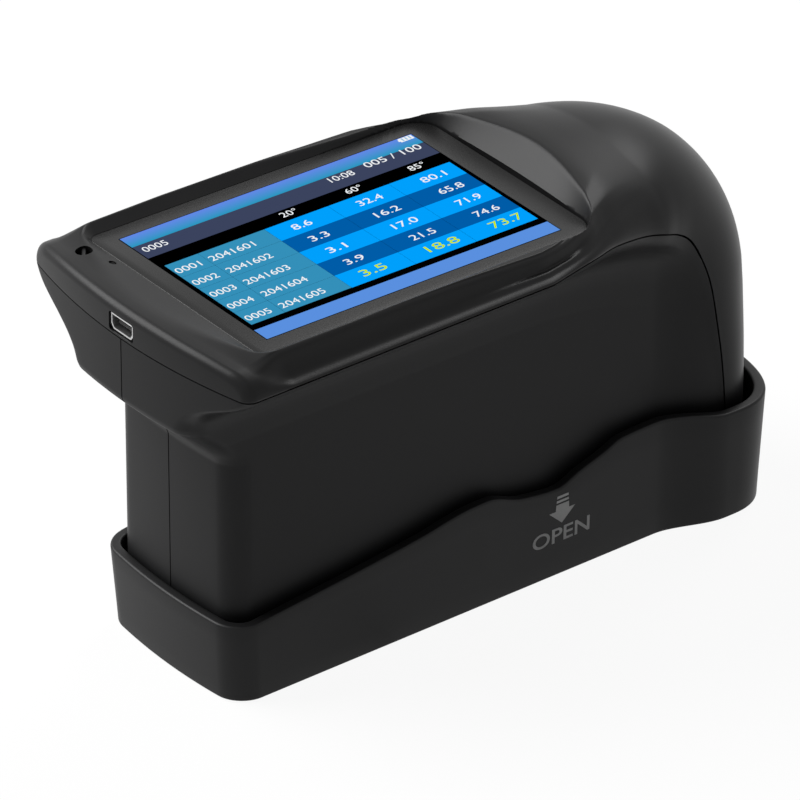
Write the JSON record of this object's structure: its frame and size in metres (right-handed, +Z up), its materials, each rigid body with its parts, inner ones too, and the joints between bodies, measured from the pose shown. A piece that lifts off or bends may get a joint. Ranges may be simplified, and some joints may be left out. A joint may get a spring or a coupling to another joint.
{
  "type": "gloss meter",
  "caption": "Handheld three-angle gloss meter with a tilted colour display, domed optical head and side push buttons, standing in its wavy-rimmed calibration cover.",
  "frame": {"origin": "The middle of the cover's overall length and width, on the surface that the cover stands on", "axes": "+X from the tail with its socket to the domed nose, +Y to the side with the push buttons, +Z up"},
  "size_m": [0.1524, 0.072, 0.0888],
  "materials": {
    "housing_plastic": "satin black, fine spark texture",
    "side_plastic": "soft black, fine spark texture",
    "cover_plastic": "satin black",
    "inner_plastic": "matt black",
    "display_glass": "smoked, anti-glare",
    "display_panel": "lit colour screen",
    "circuit_board": "green solder mask",
    "plated_steel": "bright plated",
    "clear_glass": "clear",
    "lamp_resin": "clear resin",
    "battery_wrap": "heat-shrink wrap",
    "tile_glass": "polished black",
    "grey_foam": "foam"
  },
  "bodies": {
    "cover": {"calibration_cover": "cover_plastic", "tile_pad": "grey_foam", "calibration_tile": "tile_glass"},
    "instrument": {"top_housing": "housing_plastic", "left_side_shell": "side_plastic", "right_side_shell": "side_plastic", "display_glass": "display_glass", "lcd_module": "display_panel", "lcd_bracket": "plated_steel", "main_board": "circuit_board", "board_screw_1": "plated_steel", "board_screw_2": "plated_steel", "board_screw_3": "plated_steel", "board_screw_4": "plated_steel", "interface_board": "circuit_board", "board_connector": "inner_plastic", "buzzer": "inner_plastic", "usb_socket": "plated_steel", "usb_tongue": "inner_plastic", "light_pipe": "clear_glass", "battery_cradle": "inner_plastic", "battery_cell": "battery_wrap", "base_plate": "side_plastic", "base_screw_1": "plated_steel", "base_screw_2": "plated_steel", "base_screw_3": "plated_steel", "base_screw_4": "plated_steel", "optical_block": "inner_plastic", "lamp_20": "lamp_resin", "lamp_60": "lamp_resin", "lamp_85": "lamp_resin", "detector_20": "plated_steel", "detector_60": "plated_steel", "detector_85": "plated_steel", "lamp_lens_20": "clear_glass", "lamp_lens_60": "clear_glass", "detector_lens_20": "clear_glass", "detector_lens_60": "clear_glass", "measure_switch": "plated_steel", "power_switch": "plated_steel", "button_board": "circuit_board"},
    "measure_key": {"measure_button": "side_plastic"},
    "power_key": {"power_button": "side_plastic"}
  },
  "joints": [
    {"name": "cover_slide", "type": "slide", "parent": "cover", "child": "instrument", "axis": [0, 0, 1], "range_m": [0, 0.035]},
    {"name": "measure_press", "type": "slide", "parent": "instrument", "child": "measure_key", "axis": [0, -1, 0], "range_m": [0, 0.0005], "stiffness_N_per_m": 400, "springref_m": -0.001},
    {"name": "power_press", "type": "slide", "parent": "instrument", "child": "power_key", "axis": [0, -1, 0], "range_m": [0, 0.0005], "stiffness_N_per_m": 400, "springref_m": -0.001}
  ]
}
